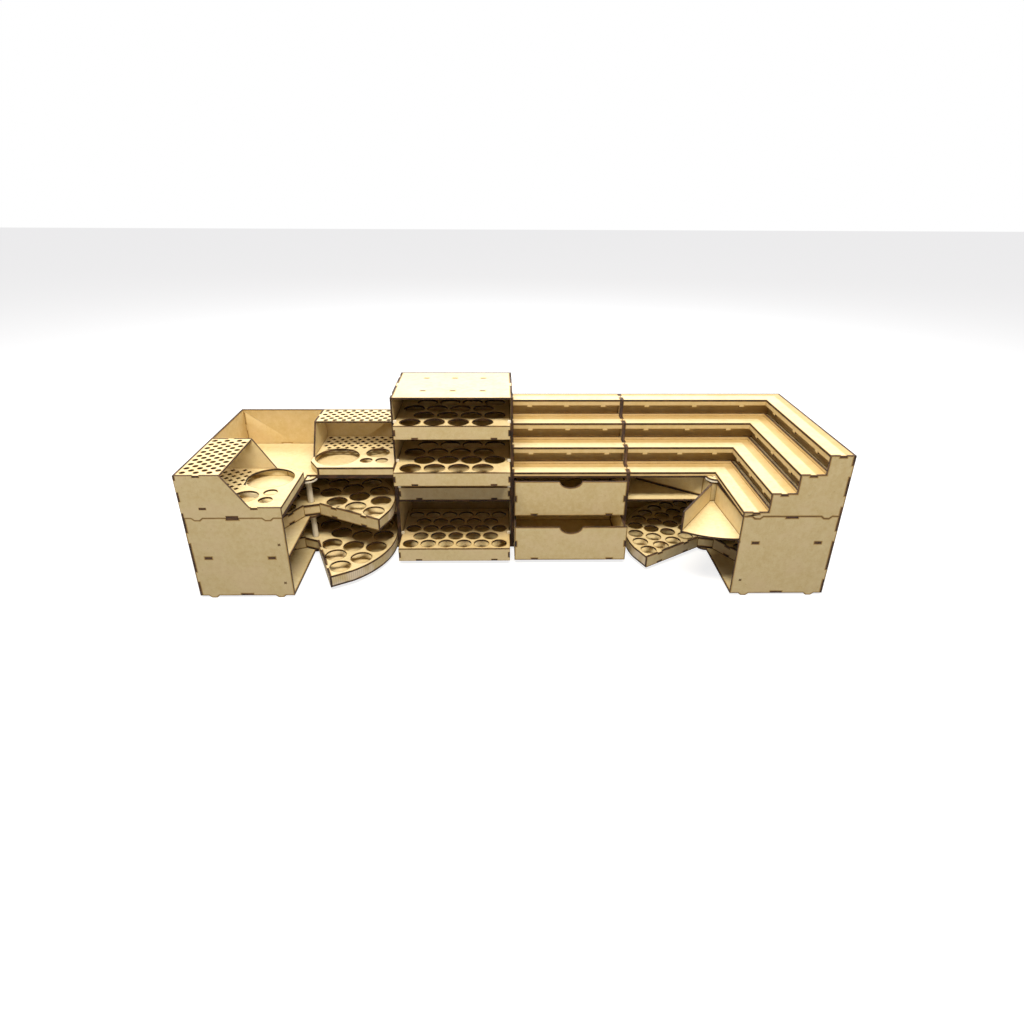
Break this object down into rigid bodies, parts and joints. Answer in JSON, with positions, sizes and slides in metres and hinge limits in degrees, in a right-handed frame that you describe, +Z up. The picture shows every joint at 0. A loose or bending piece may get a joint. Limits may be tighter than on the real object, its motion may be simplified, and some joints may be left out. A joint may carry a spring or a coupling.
{
  "type": "hobby workstation organizer",
  "caption": "U-shaped desktop organizer of slotted board modules with swivel corner trays, pull-out pot trays, drawers, a brush rack and stepped bottle shelves.",
  "frame": {"origin": "on the floor under the middle of the whole row's footprint", "axes": "+X runs to the user's right along the row, +Y away from the user towards the back panels, +Z up"},
  "size_m": [1, 0.3, 0.284],
  "materials": {
    "board": "raw medium-density board with charred laser-cut edges",
    "post": "plain pale wood"
  },
  "bodies": {
    "cases": {"corner_step_ends": "board", "corner_step_lips": "board", "corner_step_risers": "board", "corner_step_treads": "board", "drawer_case_back": "board", "drawer_case_decks": "board", "drawer_case_sides": "board", "left_cabinet_decks": "board", "left_cabinet_ends": "board", "left_cabinet_walls": "board", "left_pivot_post": "post", "rack_base": "board", "rack_fascias": "board", "rack_palettes": "board", "rack_pen_plates": "board", "rack_side_panels": "board", "rack_walls": "board", "right_cabinet_decks": "board", "right_cabinet_ends": "board", "right_cabinet_walls": "board", "right_pivot_post": "post", "step_ends": "board", "step_lips": "board", "step_risers": "board", "step_treads": "board", "tower_backs": "board", "tower_decks": "board", "tower_sides": "board", "tray_stop_pegs": "post"},
    "left_low_swivel": {"left_low_swivel_floor": "board", "left_low_swivel_plate": "board", "left_low_swivel_rim": "board", "left_low_swivel_walls": "board"},
    "left_high_swivel": {"left_high_swivel_floor": "board", "left_high_swivel_plate": "board", "left_high_swivel_rim": "board", "left_high_swivel_walls": "board"},
    "right_low_swivel": {"right_low_swivel_floor": "board", "right_low_swivel_plate": "board", "right_low_swivel_rim": "board", "right_low_swivel_walls": "board"},
    "right_high_swivel": {"right_high_swivel_dividers": "board", "right_high_swivel_floor": "board", "right_high_swivel_hub": "board"},
    "low_tray": {"low_tray_box": "board", "low_tray_front": "board", "low_tray_plate": "board"},
    "middle_tray": {"middle_tray_box": "board", "middle_tray_front": "board", "middle_tray_plate": "board"},
    "high_tray": {"high_tray_box": "board", "high_tray_front": "board", "high_tray_plate": "board"},
    "top_tray": {"top_tray_box": "board", "top_tray_front": "board", "top_tray_plate": "board"},
    "low_drawer": {"low_drawer_box": "board", "low_drawer_front": "board"},
    "high_drawer": {"high_drawer_box": "board", "high_drawer_front": "board"}
  },
  "joints": [
    {"name": "left_low_swivel_turn", "type": "hinge", "parent": "cases", "child": "left_low_swivel", "pos_m": [-0.35, 0, 0.04], "axis": [0, 0, 1], "continuous": true},
    {"name": "left_high_swivel_turn", "type": "hinge", "parent": "cases", "child": "left_high_swivel", "pos_m": [-0.35, 0, 0.09], "axis": [0, 0, 1], "continuous": true},
    {"name": "right_low_swivel_turn", "type": "hinge", "parent": "cases", "child": "right_low_swivel", "pos_m": [0.35, 0, 0.04], "axis": [0, 0, 1], "continuous": true},
    {"name": "right_high_swivel_turn", "type": "hinge", "parent": "cases", "child": "right_high_swivel", "pos_m": [0.35, 0, 0.09], "axis": [0, 0, 1], "continuous": true},
    {"name": "low_tray_slide", "type": "slide", "parent": "cases", "child": "low_tray", "axis": [0, -1, 0], "range_m": [-0.053, 0.057]},
    {"name": "middle_tray_slide", "type": "slide", "parent": "cases", "child": "middle_tray", "axis": [0, -1, 0], "range_m": [0, 0.11]},
    {"name": "high_tray_slide", "type": "slide", "parent": "cases", "child": "high_tray", "axis": [0, -1, 0], "range_m": [-0.046, 0.064]},
    {"name": "top_tray_slide", "type": "slide", "parent": "cases", "child": "top_tray", "axis": [0, -1, 0], "range_m": [-0.015, 0.095]},
    {"name": "low_drawer_slide", "type": "slide", "parent": "cases", "child": "low_drawer", "axis": [0, -1, 0], "range_m": [-0.051, 0.059]},
    {"name": "high_drawer_slide", "type": "slide", "parent": "cases", "child": "high_drawer", "axis": [0, -1, 0], "range_m": [-0.0155, 0.0945]}
  ]
}
